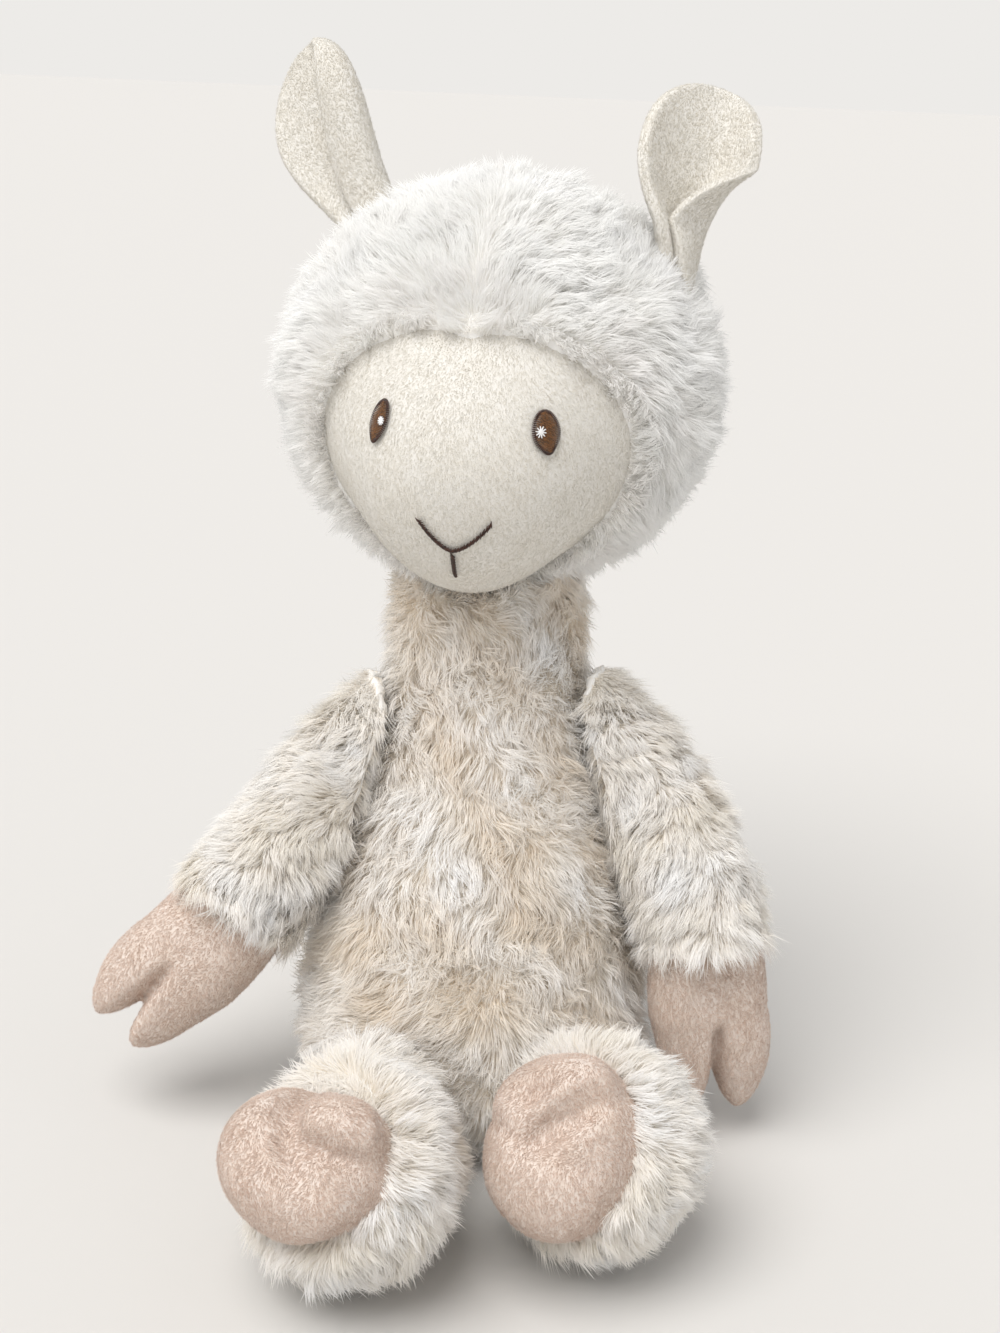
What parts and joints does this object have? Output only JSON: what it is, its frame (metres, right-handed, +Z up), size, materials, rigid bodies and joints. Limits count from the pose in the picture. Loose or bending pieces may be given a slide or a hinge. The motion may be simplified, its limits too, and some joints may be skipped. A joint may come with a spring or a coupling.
{
  "type": "plush llama toy",
  "caption": "Seated soft toy with a shaggy fur body, a smooth velour face, cupped ears, cloven mitts and stretched legs.",
  "frame": {"origin": "centre of the flat seat, on the surface that the toy sits on", "axes": "+Z up from the seat, -Y towards the way the toy looks, so the toy's own left side is +X"},
  "size_m": [0.1995, 0.2287, 0.3051],
  "materials": {
    "head_fur": "long pile fur cloth, white, combed away from the face",
    "body_fur": "long pile fur cloth, cream, swirled and matted into locks",
    "limb_fur": "long pile fur cloth, off-white, combed down the limbs",
    "cream_velour": "short pile velour, cream",
    "peach_velour": "short pile velour, pale peach",
    "brown_thread": "satin stitched rayon thread, brown",
    "dark_thread": "stitched rayon thread, dark brown",
    "white_thread": "stitched rayon thread, white",
    "fibre_filling": "loose polyester fibre",
    "pellet_bag": "plastic pellets in a thin cloth bag"
  },
  "bodies": {
    "root": {"body_fur": "body_fur", "head_fur": "head_fur", "face_panel": "cream_velour", "ear_left": "cream_velour", "ear_right": "cream_velour", "eye_left": "brown_thread", "eye_right": "brown_thread", "eye_glint_left": "white_thread", "eye_glint_right": "white_thread", "mouth_stitching": "dark_thread", "lip_stitching": "dark_thread", "arm_fur_left": "limb_fur", "arm_fur_right": "limb_fur", "hand_left": "peach_velour", "hand_right": "peach_velour", "leg_fur_left": "limb_fur", "leg_fur_right": "limb_fur", "hoof_left": "peach_velour", "hoof_right": "peach_velour", "head_filling": "fibre_filling", "body_filling": "fibre_filling", "arm_filling_left": "fibre_filling", "arm_filling_right": "fibre_filling", "leg_filling_left": "fibre_filling", "leg_filling_right": "fibre_filling", "seat_pellet_bag": "pellet_bag"}
  },
  "joints": []
}
